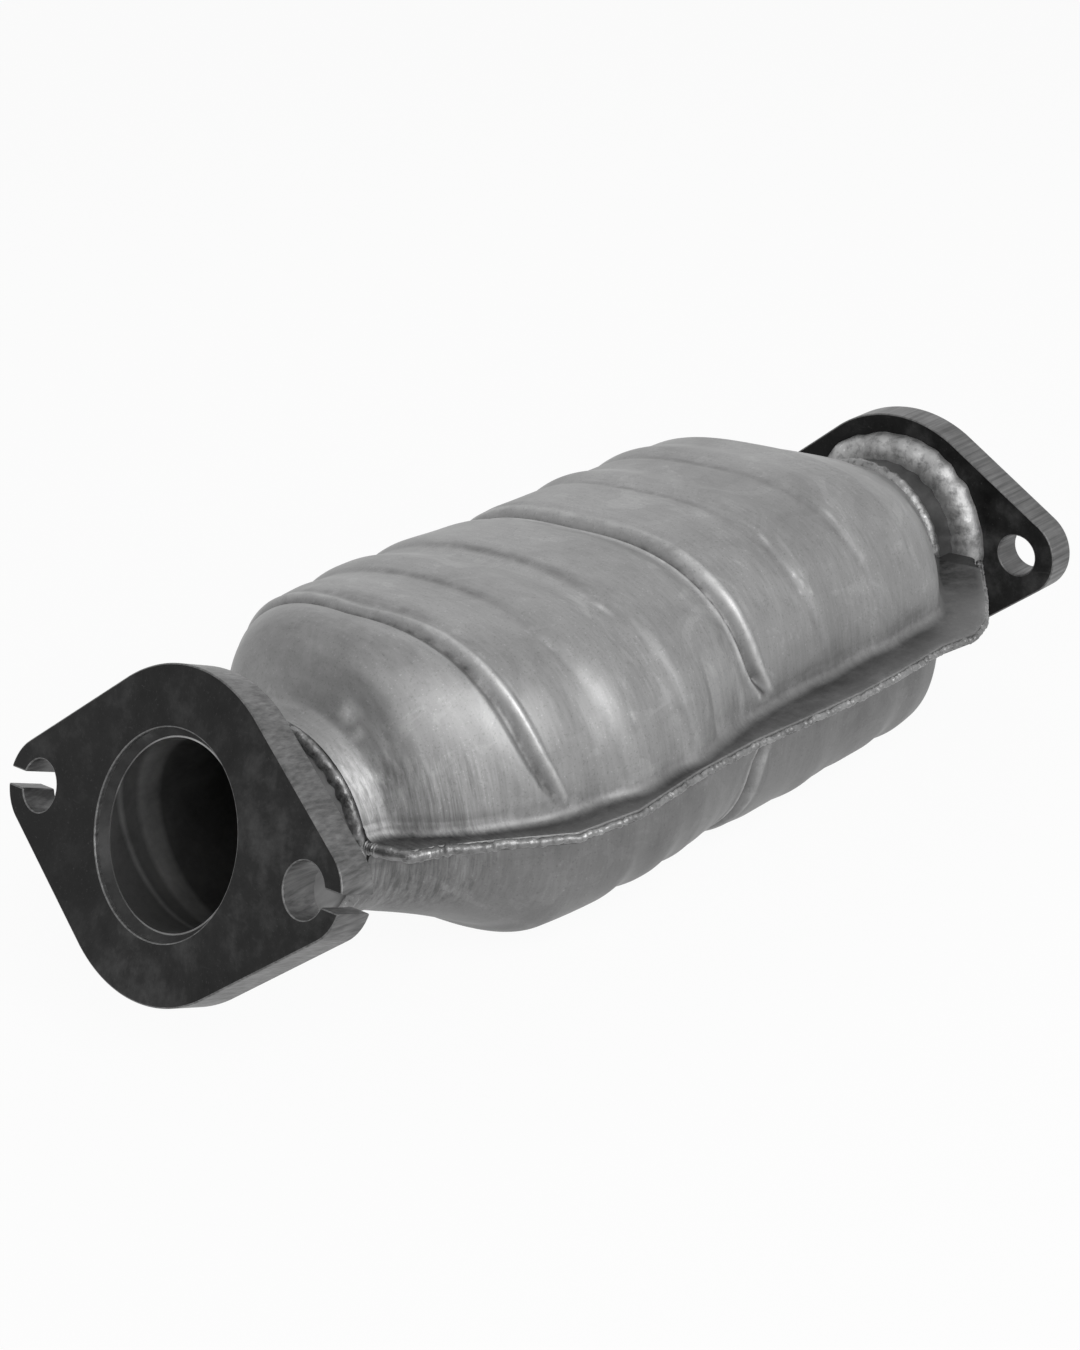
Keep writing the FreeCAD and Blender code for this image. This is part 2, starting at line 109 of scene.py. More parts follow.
class Tree:
    """A material's node tree with short calls for the nodes used here."""

    def __init__(self, name):
        self.material = bpy.data.materials.new(name)
        self.material.use_nodes = True
        self.nodes = self.material.node_tree.nodes
        self.links = self.material.node_tree.links
        self.shader = self.nodes["Principled BSDF"]
        self.place = self.nodes.new("ShaderNodeTexCoord").outputs["Object"]

    def link(self, source, target):
        self.links.new(source, target)

    def feed(self, socket, value):
        """Links an output to the socket, or sets a number or a colour on it."""
        if isinstance(value, bpy.types.NodeSocket):
            self.link(value, socket)
        else:
            socket.default_value = shade(value) if socket.type == "RGBA" else value

    def mapped(self, scale, turn=(0, 0, 0)):
        node = self.nodes.new("ShaderNodeMapping")
        node.inputs["Scale"].default_value = scale
        node.inputs["Rotation"].default_value = turn
        self.link(self.place, node.inputs["Vector"])
        return node.outputs["Vector"]

    def split(self, vector):
        node = self.nodes.new("ShaderNodeSeparateXYZ")
        self.link(vector, node.inputs[0])
        return node.outputs

    def noise(self, scale, detail=4, roughness=0.55, vector=None, distortion=0.0):
        node = self.nodes.new("ShaderNodeTexNoise")
        node.inputs["Scale"].default_value = scale
        node.inputs["Detail"].default_value = detail
        node.inputs["Roughness"].default_value = roughness
        node.inputs["Distortion"].default_value = distortion
        self.link(self.place if vector is None else vector, node.inputs["Vector"])
        return node.outputs["Fac"]

    def ramp(self, value, stops):
        node = self.nodes.new("ShaderNodeValToRGB")
        band = node.color_ramp
        while len(band.elements) < len(stops):
            band.elements.new(0.5)
        for element, (place, level) in zip(band.elements, stops):
            element.position = place
            element.color = shade(level)
        self.link(value, node.inputs["Fac"])
        return node.outputs["Color"]

    def mix(self, factor, first, second, blend="MIX"):
        node = self.nodes.new("ShaderNodeMix")
        node.data_type = "RGBA"
        node.blend_type = blend
        self.feed(node.inputs["Factor"], factor)
        self.feed(node.inputs[6], first)
        self.feed(node.inputs[7], second)
        return node.outputs[2]

    def multiply(self, first, second):
        return self.mix(1.0, first, second, "MULTIPLY")

    def math(self, operation, first, second=0.0):
        node = self.nodes.new("ShaderNodeMath")
        node.operation = operation
        self.feed(node.inputs[0], first)
        self.feed(node.inputs[1], second)
        return node.outputs[0]

    def bump(self, height, strength, distance, below=None):
        node = self.nodes.new("ShaderNodeBump")
        node.inputs["Strength"].default_value = strength
        node.inputs["Distance"].default_value = distance
        self.link(height, node.inputs["Height"])
        if below is not None:
            self.link(below, node.inputs["Normal"])
        return node.outputs["Normal"]

    def finish(self, color, roughness, normal, metallic, specular=0.5):
        self.feed(self.shader.inputs["Base Color"], color)
        self.feed(self.shader.inputs["Roughness"], roughness)
        if normal is not None:
            self.link(normal, self.shader.inputs["Normal"])
        self.shader.inputs["Metallic"].default_value = metallic
        self.shader.inputs["Specular IOR Level"].default_value = specular
        return self.material


# ---------------------------------------------------------------- materials

RAGGED = 5 * MM
# How far from the plane of the lips the painted shade reaches.
LIP_SHADE_HEIGHT = 12 * MM
STREAK_HEIGHT = 26 * MM
STREAK_LENGTH = 30 * MM
BORE_DEPTH = 40 * MM
CELL_PITCH = 1.27 * MM
CELL_WALL = 0.16


def satin_stainless(name, tone):
    """Stamped sheet: brush marks round the body, wiped patches, pits, painted shade near the lips
    and streaks low on the front cone. A per-point value on the mesh, which holds painted highlights
    and painted shade with a few real marks, lightens or darkens it."""
    tree = Tree(name)
    brush = tree.noise(1.0, 3, 0.6, tree.mapped((900, 160, 90)))
    clouds = tree.noise(28, 5, 0.6)
    patches = tree.noise(45, 4, 0.6, distortion=1.6)
    pits = tree.noise(1600, 2, 0.5)
    color = tree.multiply(tone, tree.ramp(clouds, [(0.32, 0.80), (0.52, 1.0), (0.70, 1.12)]))
    for marks, stops in ((patches, [(0.42, 0.93), (0.46, 1.0), (0.58, 1.0), (0.62, 1.12)]),
                         (brush, [(0.30, 0.90), (0.70, 1.10)]),
                         (pits, [(0.30, 0.82), (0.40, 1.0), (0.66, 1.0), (0.72, 1.25)])):
        color = tree.multiply(color, tree.ramp(marks, stops))

    x, _, z = tree.split(tree.place)
    # Painted shade: the sheet darkens towards the plane of the lips, in the corner between lip and
    # wall.
    height = tree.math("ABSOLUTE", tree.math("SUBTRACT", z, AXIS_Z))
    unevenness = tree.math("MULTIPLY", tree.math("SUBTRACT", clouds, 0.5), RAGGED)
    ragged = tree.math("ADD", height, unevenness)
    lip_shade = tree.math("DIVIDE", ragged, LIP_SHADE_HEIGHT)
    color = tree.multiply(color, tree.ramp(lip_shade, [(0.10, 0.55), (0.30, 0.66), (0.62, 1.0)]))

    cone = tree.math("DIVIDE", tree.math("SUBTRACT", x, FRONT), STREAK_LENGTH)
    cone = tree.ramp(cone, [(0.55, 1.0), (0.95, 0.0)])
    low = tree.ramp(tree.math("DIVIDE", ragged, STREAK_HEIGHT), [(0.65, 1.0), (1.0, 0.0)])
    streaks = tree.noise(1.0, 3, 0.7, tree.mapped((1100, 300, 25)))
    streaks = tree.ramp(streaks, [(0.34, 0.68), (0.50, 1.0), (0.66, 1.30)])
    color = tree.mix(tree.math("MULTIPLY", cone, low), color, tree.multiply(color, streaks))

    # Per-point value from the mesh: painted highlights and shade along the lip, creases and ribs,
    # and a few real marks.
    wear_and_painted_light = tree.nodes.new("ShaderNodeAttribute")
    wear_and_painted_light.attribute_name = "wear_and_painted_light"
    uneven = tree.ramp(tree.noise(160, 4, 0.7), [(0.35, 0.45), (0.65, 1.35)])
    lightening = tree.math("ADD", 1.0, tree.math("MULTIPLY", wear_and_painted_light.outputs["Fac"], uneven))
    color = tree.multiply(color, lightening)

    rough = tree.ramp(tree.mix(0.5, brush, patches), [(0.30, 0.42), (0.70, 0.58)])
    dents = tree.bump(clouds, 0.22, 0.8 * MM)
    normal = tree.bump(brush, 0.10, 0.05 * MM, dents)
    return tree.finish(color, rough, normal, 0.8)


def mill_scale():
    """Dark scale with fine specks, a few light scuffs and a faint sheen."""
    tree = Tree("mill_scale")
    blotch = tree.noise(95, 6, 0.65)
    grain = tree.noise(1500, 3, 0.6)
    scuffs = tree.noise(1.0, 4, 0.6, tree.mapped((500, 60, 260), (0.4, 0.2, 0.1)), 1.0)
    broad = tree.noise(14, 3, 0.5)
    color = tree.ramp(blotch, [(0.32, 0.003), (0.50, 0.012), (0.68, 0.036)])
    color = tree.multiply(color, tree.ramp(broad, [(0.35, 0.5), (0.65, 1.6)]))
    color = tree.mix(tree.ramp(grain, [(0.62, 0.0), (0.74, 0.5)]), color, 0.07)
    color = tree.mix(tree.ramp(scuffs, [(0.66, 0.0), (0.78, 0.5)]), color, 0.06)
    rough = tree.ramp(blotch, [(0.3, 0.46), (0.7, 0.66)])
    normal = tree.bump(grain, 0.25, 0.08 * MM, tree.bump(blotch, 0.25, 0.25 * MM))
    return tree.finish(color, rough, normal, 0.0, 0.15)


def cut_rim():
    """Flame-cut edge of a plate, with drag lines across it."""
    tree = Tree("cut_rim")
    drag = tree.noise(1.0, 3, 0.6, tree.mapped((30, 900, 900)))
    blotch = tree.noise(150, 4)
    color = tree.multiply(tree.ramp(drag, [(0.30, 0.08), (0.70, 0.20)]),
                          tree.ramp(blotch, [(0.3, 0.75), (0.7, 1.1)]))
    normal = tree.bump(drag, 0.5, 0.25 * MM)
    return tree.finish(color, 0.42, normal, 0.6)


def weld(name, levels, roughness):
    """Rippled bead: dull hollows, grey flanks and bright specks."""
    tree = Tree(name)
    ripple = tree.noise(420, 4, 0.65)
    blotch = tree.noise(120, 3, 0.5)
    dull, middle, bright = levels
    color = tree.ramp(ripple, [(0.36, dull), (0.50, middle), (0.60, middle), (0.70, bright)])
    color = tree.multiply(color, tree.ramp(blotch, [(0.35, 0.72), (0.65, 1.12)]))
    normal = tree.bump(ripple, 0.55, 0.5 * MM)
    return tree.finish(color, roughness, normal, 0.85)


def painted_bore_shade():
    """Near-black metal at the mouth of the bore: painted shade inside the bore."""
    tree = Tree("shaded_bore")
    blotch = tree.noise(180, 5, 0.6)
    color = tree.ramp(blotch, [(0.3, 0.010), (0.6, 0.030), (0.8, 0.070)])
    return tree.finish(color, 0.45, tree.bump(blotch, 0.3, 0.3 * MM), 0.6)


def tube_steel():
    """Blotched tube with painted light and shade in its bore: bright rings are painted highlights
    and the darker part deeper in is painted shade.
    """
    tree = Tree("tube_steel")
    blotch = tree.noise(70, 5, 0.6)
    color = tree.ramp(blotch, [(0.3, 0.09), (0.6, 0.20), (0.8, 0.28)])
    depth = tree.math("DIVIDE", tree.split(tree.place)["X"], BORE_DEPTH)
    # Painted highlights as bright rings, then painted shade deeper in the bore.
    lit_and_shaded_rings = [(0.10, 1.0), (0.13, 2.2), (0.16, 1.0), (0.24, 1.2),
             (0.28, 2.3), (0.40, 1.9), (0.44, 0.8), (0.80, 0.7)]
    color = tree.multiply(color, tree.ramp(depth, lit_and_shaded_rings))
    rough = tree.ramp(blotch, [(0.3, 0.5), (0.7, 0.32)])
    normal = tree.bump(tree.noise(700, 3), 0.12, 0.08 * MM)
    return tree.finish(color, rough, normal, 0.8)


def honeycomb():
    """Square channels seen end on, their openings painted near-black as the shade inside them; the
    sides of the brick are plain ceramic skin.
    """
    tree = Tree("cordierite")
    parts = tree.split(tree.place)
    walls = []
    for axis in ("Y", "Z"):
        cell = tree.math("FRACT", tree.math("DIVIDE", parts[axis], CELL_PITCH))
        walls.append(tree.math("LESS_THAN", cell, CELL_WALL))
    grid = tree.math("MAXIMUM", *walls)
    facing = tree.split(tree.nodes.new("ShaderNodeNewGeometry").outputs["Normal"])
    side = tree.math("LESS_THAN", tree.math("ABSOLUTE", facing["X"]), 0.5)
    solid = tree.math("MAXIMUM", grid, side)
    dust = tree.ramp(tree.noise(300, 4), [(0.3, (0.40, 0.33, 0.25)), (0.7, (0.58, 0.50, 0.40))])
    # The channels' openings get a near-black colour: painted shade.
    color = tree.mix(solid, (0.012, 0.010, 0.008), dust)
    return tree.finish(color, 0.85, tree.bump(solid, 0.8, 0.4 * MM), 0.0, 0.3)


def fibre():
    tree = Tree("fibre_mat")
    strands = tree.noise(500, 6, 0.7, distortion=1.2)
    color = tree.ramp(strands, [(0.3, (0.50, 0.48, 0.42)), (0.7, (0.80, 0.78, 0.72))])
    return tree.finish(color, 0.95, tree.bump(strands, 0.7, 0.5 * MM), 0.0, 0.2)


def wire_mesh():
    tree = Tree("wire_mesh")
    knit = tree.nodes.new("ShaderNodeTexVoronoi")
    knit.inputs["Scale"].default_value = 900
    tree.link(tree.place, knit.inputs["Vector"])
    loops = knit.outputs["Distance"]
    color = tree.ramp(loops, [(0.1, 0.45), (0.6, 0.08)])
    return tree.finish(color, 0.4, tree.bump(loops, 0.8, 0.4 * MM), 0.9)


MATERIALS = {
    "satin_stainless": satin_stainless("satin_stainless", 0.285),
    "mill_scale_plate": mill_scale(),
    "tube_steel": tube_steel(),
    "weld_metal": weld("weld_metal", (0.12, 0.26, 0.50), 0.42),
    "cordierite": honeycomb(),
    "fibre_mat": fibre(),
    "wire_mesh": wire_mesh(),
}
CUT_RIM = cut_rim()
# Darker copies of the sheet are painted shade: the lower shell faces down, and the rear lip tabs
# lie in shade.
SHADED_LOWER_SHEET = satin_stainless("shaded_lower_stainless", 0.19)
SHADED_LIP_SHEET = satin_stainless("shaded_lip_stainless", 0.09)
SEAM_WELD = weld("seam_weld", (0.16, 0.26, 0.62), 0.40)
DULL_WELD = weld("dull_weld", (0.10, 0.24, 0.50), 0.42)
BRIGHT_WELD = weld("bright_weld", (0.27, 0.40, 0.56), 0.52)
SMEARED_WELD = weld("smeared_weld", (0.22, 0.38, 0.60), 0.55)
BORE_SHADE = painted_bore_shade()


# ---------------------------------------------------------------- mesh helpers

SHARP_EDGE = 50


def add_piece(name, mesh, nodes, materials):
    piece = bpy.data.objects.new(name, mesh)
    bpy.context.scene.collection.objects.link(piece)
    for material in materials:
        mesh.materials.append(material)
    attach(piece, "root")
    if nodes:
        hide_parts(*nodes)
    return piece


def grid_mesh(name, points, close_across=False):
    """Smooth quad mesh through a (rows, columns, 3) array of points."""
    rows, columns, _ = points.shape
    last_column = columns if close_across else columns - 1
    faces = []
    for row in range(rows - 1):
        this, following = row * columns, (row + 1) * columns
        for column in range(last_column):
            beside = (column + 1) % columns
            faces.append((this + column, this + beside, following + beside, following + column))
    mesh = bpy.data.meshes.new(name)
    mesh.from_pydata(points.reshape(-1, 3).tolist(), [], faces)
    mesh.polygons.foreach_set("use_smooth", [True] * len(mesh.polygons))
    mesh.update()
    return mesh


def eased(keys, x):
    """Monotone cubic through (x, value) keys, for an array x."""
    xs = np.array([key[0] for key in keys], float)
    ys = np.array([key[1] for key in keys], float)
    run, rise = np.diff(xs), np.diff(ys)
    slope = rise / run
    tangent = np.zeros_like(ys)
    for i in range(1, len(ys) - 1):
        if slope[i - 1] * slope[i] > 0:
            w1, w2 = 2 * run[i] + run[i - 1], run[i] + 2 * run[i - 1]
            tangent[i] = (w1 + w2) / (w1 / slope[i - 1] + w2 / slope[i])
    tangent[0], tangent[-1] = slope[0], slope[-1]
    x = np.clip(x, xs[0], xs[-1])
    i = np.clip(np.searchsorted(xs, x) - 1, 0, len(run) - 1)
    t = (x - xs[i]) / run[i]
    return (ys[i] * (1 + 2 * t) * (1 - t) ** 2 + run[i] * tangent[i] * t * (1 - t) ** 2
            + ys[i + 1] * t ** 2 * (3 - 2 * t) + run[i] * tangent[i + 1] * t ** 2 * (t - 1))


def arc_points(centre, radius, start, end, steps):
    turns = [start + (end - start) * step / steps for step in range(steps + 1)]
    return [(centre[0] + radius * math.cos(turn), centre[1] + radius * math.sin(turn))
            for turn in turns]


def push_out(mesh, faces, way):
    """Thickens these faces of a bmesh into a solid."""
    pushed = bmesh.ops.extrude_face_region(mesh, geom=faces)["geom"]
    moved = [item for item in pushed if isinstance(item, bmesh.types.BMVert)]
    bmesh.ops.translate(mesh, verts=moved, vec=way)
    bmesh.ops.recalc_face_normals(mesh, faces=mesh.faces)


def as_mesh(source, name):
    mesh = bpy.data.meshes.new(name)
    source.to_mesh(mesh)
    source.free()
    return mesh


def round_edges(piece, width, material=-1):
    edge = piece.modifiers.new("edges", "BEVEL")
    edge.width = width
    edge.segments = 3
    edge.limit_method = "ANGLE"
    edge.angle_limit = math.radians(SHARP_EDGE)
    edge.harden_normals = True
    edge.material = material


def along(fraction):
    """x at this fraction of the shell's length."""
    return FRONT + fraction * LENGTH


def groove(offset, half):
    """1 in the middle of a smooth groove and 0 from its half-length on."""
    offset = np.minimum(np.abs(offset) / half, 1)
    return 0.5 * (1 + np.cos(np.pi * offset))


def plateau(offset, half, edge):
    """1 inside a flat field and 0 outside it, with a sloping edge."""
    return np.clip((half - np.abs(offset)) / edge + 0.5, 0, 1)


# ---------------------------------------------------------------- half-shells

Shape = namedtuple("Shape", "widths heights bands creases height")

# Width and height keys: fraction of the shell's length, then how far the size has grown from the
# mouth's radius, 0, to the full half-width or height, 1. Bands are pressed in, or raised where the
# depth is negative: fraction, depth and half-length in mm. The sides take a share of that depth.
UPPER_WIDTHS = [(0.000, 0.000), (0.020, 0.080), (0.053, 0.399), (0.078, 0.606), (0.107, 0.784),
                (0.140, 0.953), (0.200, 1.084), (0.250, 1.197), (0.330, 1.206), (0.385, 1.113),
                (0.520, 1.000), (0.780, 1.000), (0.826, 0.953), (0.860, 0.812), (0.905, 0.550),
                (0.950, 0.259), (1.000, 0.000)]
UPPER_HEIGHTS = [(0.000, 0.000), (0.021, 0.058), (0.037, 0.368), (0.053, 0.770), (0.070, 0.931),
                 (0.086, 0.966), (0.111, 0.949), (0.144, 0.991), (0.385, 0.995), (0.498, 1.000),
                 (0.778, 1.009), (0.797, 0.920), (0.827, 0.793), (0.909, 0.442), (0.971, 0.118),
                 (1.000, 0.000)]
UPPER_BANDS = [(0.206, 0.9, 9.0), (0.300, 1.8, 10.0), (0.440, 1.0, 10.0), (0.597, -1.2, 8.0),
               (0.712, -1.2, 9.0)]
LOWER_WIDTHS = [(0.000, 0.000), (0.030, 0.118), (0.070, 0.456), (0.110, 0.756), (0.140, 0.916),
                (0.165, 1.000), (0.250, 1.150), (0.330, 1.169), (0.385, 1.094), (0.520, 1.000),
                (0.780, 1.000), (0.826, 0.953), (0.860, 0.812), (0.905, 0.550), (0.950, 0.259),
                (1.000, 0.000)]
LOWER_HEIGHTS = [(0.000, 0.000), (0.030, 0.000), (0.053, 0.089), (0.086, 0.258), (0.119, 0.476),
                 (0.144, 0.673), (0.160, 0.862), (0.172, 0.937), (0.250, 0.904), (0.385, 0.904),
                 (0.480, 0.945), (0.514, 1.000), (0.794, 1.000), (0.827, 0.995), (0.844, 0.955),
                 (0.877, 0.781), (0.942, 0.346), (1.000, 0.000)]
LOWER_BANDS = [(0.267, 1.1, 8.0), (0.335, 1.1, 7.0), (0.424, 0.6, 9.0), (0.597, -0.7, 9.0),
               (0.663, 0.3, 7.0), (0.765, 1.0, 8.0)]
SIDE_SHARE = 0.6

# Squareness: the wall's sections are round at both mouths and grow square over these fractions.
SQUARE_FRONT, SQUARE_REAR = 0.13, 0.17
WAIST, WAIST_CHANGE = 0.44, 0.06

# Creases are narrow and bend back towards the lip. A line gives degrees up from the lip and the
# fraction of the length there. A crease is its line, its offset behind that line, its depth, its
# half-length (all in mm) and its painted light: a painted highlight where positive and painted
# shade where negative. Raised creases are lower on the crown.
SHOULDER_LINE = [(0, 0.158), (5, 0.150), (12, 0.140), (20, 0.131), (30, 0.126), (60, 0.120),
                 (90, 0.111)]
WAIST_LINE = [(0, 0.490), (5, 0.484), (16, 0.466), (28, 0.459), (42, 0.454), (90, 0.452)]
RIB_LINES = [[(0, 0.230), (45, 0.212), (90, 0.222)], [(0, 0.330), (45, 0.316), (90, 0.322)],
             [(0, 0.600), (45, 0.566), (90, 0.566)], [(0, 0.715), (45, 0.680), (90, 0.680)]]
RIBS = [(line, 0.0, 0.2, 3.0, -0.12) for line in RIB_LINES]
# The last number in each crease is painted light: highlight where positive, shade where negative.
SHOULDER = [(SHOULDER_LINE, -0.3, 1.2, 2.4, -0.55), (SHOULDER_LINE, 2.2, -0.7, 1.9, 0.75),
            (SHOULDER_LINE, -5.0, -0.4, 4.0, 0.05)]
WAIST_CREASES = [(WAIST_LINE, 0.2, 1.6, 2.2, -0.55), (WAIST_LINE, -2.2, -0.5, 1.8, 0.85),
                 (WAIST_LINE, 3.2, -0.8, 2.4, 0.62), (WAIST_LINE, -1.0, 1.6, 9.0, 0.0)]
CROWN_SHARE = 0.3
# Share of a crease's half-length that its painted light covers.
PAINTED_LIGHT_SHARE = 0.7
UPPER = Shape(UPPER_WIDTHS, UPPER_HEIGHTS, UPPER_BANDS, SHOULDER + WAIST_CREASES + RIBS,
              UPPER_HEIGHT)
LOWER = Shape(LOWER_WIDTHS, LOWER_HEIGHTS, LOWER_BANDS, WAIST_CREASES, LOWER_DEPTH)

# Marks on the upper shell: fraction, degrees up, half-length in mm, half its turn, how light.
# The smears and spatter are real marks, the rib marks are painted highlights and the dark marks
# are painted shade. Light ones are on the side that is turned to the camera, and dark ones on both
# sides.
CONE_SMEARS = [(0.033, 62, 2.0, 8, 1.00), (0.029, 52, 1.6, 5, 0.80), (0.025, 31, 1.6, 6, 0.90)]
# Painted highlights: short bright dashes where the ribs turn down at the side.
RIB_HIGHLIGHTS = [(0.214, 43, 1.3, 5, 0.40), (0.311, 45, 1.3, 5, 0.45), (0.576, 44, 1.0, 4, 0.45),
               (0.691, 42, 1.1, 5, 0.50), (0.250, 20, 1.0, 5, 0.20), (0.290, 22, 1.0, 4, 0.20),
               (0.340, 16, 1.2, 4, 0.15)]
SPATTER = [(0.578, 32, 0.9, 1.6, 0.55), (0.583, 29, 0.8, 1.5, 0.50), (0.576, 27, 0.8, 1.4, 0.45),
           (0.588, 31, 0.7, 1.4, 0.40), (0.590, 26, 0.9, 1.6, 0.45)]
# Painted shade on the crown: over the dome, the shoulder and the rib valleys.
PAINTED_SHADE_MARKS = [(0.080, 78, 13.0, 42, -0.14), (0.136, 80, 6.0, 44, -0.30),
              (0.221, 88, 2.2, 46, -0.30), (0.322, 88, 2.2, 46, -0.26),
              (0.566, 88, 1.8, 46, -0.16), (0.682, 88, 1.8, 46, -0.16)]
# A shallow pad pressed into the same side of the front chamber, just before the waist.
PAD_X, PAD_HALF_X = 0.409, 7.5 * MM
PAD_Z, PAD_HALF_Z = 15 * MM, 10.5 * MM
PAD_DEPTH, PAD_EDGE, PAD_LIGHT = 0.6 * MM, 2.2 * MM, 0.10

# The lip's width past the wall, as a share of the full lip, at these fractions of the length.
LIP_KEYS = [(0.000, 0.30), (0.004, 0.62), (0.012, 0.88), (0.033, 0.77), (0.079, 0.52),
            (0.136, 0.75), (0.211, 0.64), (0.322, 0.25), (0.417, 0.55), (0.483, 0.82),
            (0.583, 1.00), (0.661, 1.00), (0.752, 0.93), (0.806, 1.13), (0.850, 1.15),
            (0.922, 1.28)]
REAR_LIP_SHARE = 0.91
# Painted highlight along the lip's rounded edge.
LIP_EDGE_HIGHLIGHT = 0.25
EDGE_ROUND = 0.3 * MM

# The foot is the rounded corner between the lip and the wall. Painted shade lies there and on the
# rear lip.
FOOT_RADIUS, LEAST_FOOT, FOOT_MARGIN = 3.0 * MM, 0.1 * MM, 0.5 * MM
STEEPEST_START = 0.9
FOOT_SHADE = -0.35
REAR_LIP_SHADE, REAR_LIP_SHADE_START, REAR_LIP_SHADE_REACH = -0.40, 0.90, 12 * MM

LIP_STEPS, FOOT_STEPS, WALL_STEPS, FADE_STEPS = 6, 6, 74, 5
LENGTH_SHARES = np.concatenate([np.linspace(0, 0.15, 100)[:-1], np.linspace(0.15, 0.82, 350)[:-1],
                                np.linspace(0.82, 1, 70)])
SKIN_SHARP = 38


def grown(keys, full):
    """Keys as (x, size): from the mouth's radius to the full size."""
    return [(along(fraction), MOUTH + share * (full - MOUTH)) for fraction, share in keys]


def lip_edge(x):
    """Half-width of the lip's edge at x."""
    xs = [along(fraction) for fraction, _ in LIP_KEYS]
    walls = eased(grown(UPPER_WIDTHS, HALF_WIDTH), np.array(xs))
    widths = [wall + share * LIP for wall, (_, share) in zip(walls, LIP_KEYS)]
    return np.interp(x, xs + [LIP_END], widths + [MOUTH + REAR_LIP_SHARE * LIP])


def wall_profile(x, shape):
    """Half-width, height and squareness of the wall at every x."""
    w = eased(grown(shape.widths, HALF_WIDTH), x)
    h = eased(grown(shape.heights, shape.height), x)
    pressed = sum(groove(x - along(place), half * MM) * depth * MM
                  for place, depth, half in shape.bands)
    fraction = (x - FRONT) / LENGTH
    ends = np.minimum(fraction / SQUARE_FRONT, (1 - fraction) / SQUARE_REAR)
    rearward = np.clip((fraction - WAIST) / WAIST_CHANGE + 0.5, 0, 1)
    full = FRONT_POWER + (REAR_POWER - FRONT_POWER) * rearward
    return w - SIDE_SHARE * pressed, h - pressed, 2 + (full - 2) * np.clip(ends, 0, 1)


def relief(x, angle, creases):
    """Depth of the creases at these places of the wall, and their painted highlights and shade."""
    depth = np.zeros_like(x)
    wear_and_painted_light = np.zeros_like(x)
    for line, offset, press, half, light in creases:
        centre = along(eased(line, np.degrees(angle))) + offset * MM
        raised = CROWN_SHARE + (1 - CROWN_SHARE) * np.cos(angle) if press < 0 else 1.0
        depth += raised * press * MM * groove(x - centre, half * MM)
        wear_and_painted_light += raised * light * groove(x - centre, PAINTED_LIGHT_SHARE * half * MM)
    return depth, wear_and_painted_light


def half_columns(x, shape):
    """y, z and painted highlight and shade from the lip's edge up to the crown, with one row for
    every x, and how many of the columns come before the wall."""
    w, h, power = wall_profile(x, shape)
    lip = lip_edge(x)
    foot = np.clip(lip - w - FOOT_MARGIN, LEAST_FOOT, FOOT_RADIUS)
    flat = np.zeros_like(x)
    columns = [(lip, flat), (lip, flat + WALL - EDGE_ROUND), (lip - EDGE_ROUND, flat + WALL)]
    wear_and_painted_light = [flat, flat + LIP_EDGE_HIGHLIGHT, flat + LIP_EDGE_HIGHLIGHT]
    rear_lip_shade = REAR_LIP_SHADE * np.clip((x - along(REAR_LIP_SHADE_START)) / REAR_LIP_SHADE_REACH, 0, 1)
    for step in range(1, LIP_STEPS + 1):
        share = step / LIP_STEPS
        y = lip - EDGE_ROUND + share * (w + foot - lip + EDGE_ROUND)
        columns.append((y, flat + WALL))
        wear_and_painted_light.append(FOOT_SHADE * share + rear_lip_shade)
    for step in range(1, FOOT_STEPS + 1):
        turn = step / FOOT_STEPS * math.pi / 2
        y = w + foot * (1 - math.sin(turn))
        columns.append((y, WALL + foot * (1 - math.cos(turn))))
        wear_and_painted_light.append(flat + FOOT_SHADE * math.cos(2 * turn))
    before_wall = len(columns)
    start = np.arcsin(np.minimum((WALL + foot) / h, STEEPEST_START))
    for step in range(1, WALL_STEPS + 1):
        angle = start + (math.pi / 2 - start) * step / WALL_STEPS
        cosine, sine = np.maximum(np.cos(angle), 0), np.sin(angle)
        depth, light = relief(x, angle, shape.creases)
        reach = ((cosine / w) ** power + (sine / h) ** power) ** (-1 / power)
        reach -= min(step / FADE_STEPS, 1) * depth
        columns.append((reach * cosine, reach * sine))
        wear_and_painted_light.append(light)
    y, z = (np.stack(values, axis=1) for values in zip(*columns))
    return y, z, np.stack(wear_and_painted_light, axis=1), before_wall


def marked(x, up, marks):
    """How much lighter these marks make the wall at x and this many degrees up."""
    return sum(light * groove(x - along(place), half_x * MM) * groove(up - turn, half_turn)
               for place, turn, half_x, half_turn, light in marks)


def with_caps(points, before_wall):
    """Rows added at both ends close the wall's thickness and the lip's."""
    caps = []
    for row in (points[0], points[-1]):
        cap = row.copy()
        cap[:before_wall, 2] = 0
        cap[before_wall:, 1:] *= (MOUTH - WALL) / MOUTH
        caps.append(cap)
    return np.concatenate([caps[:1], points, caps[1:]])


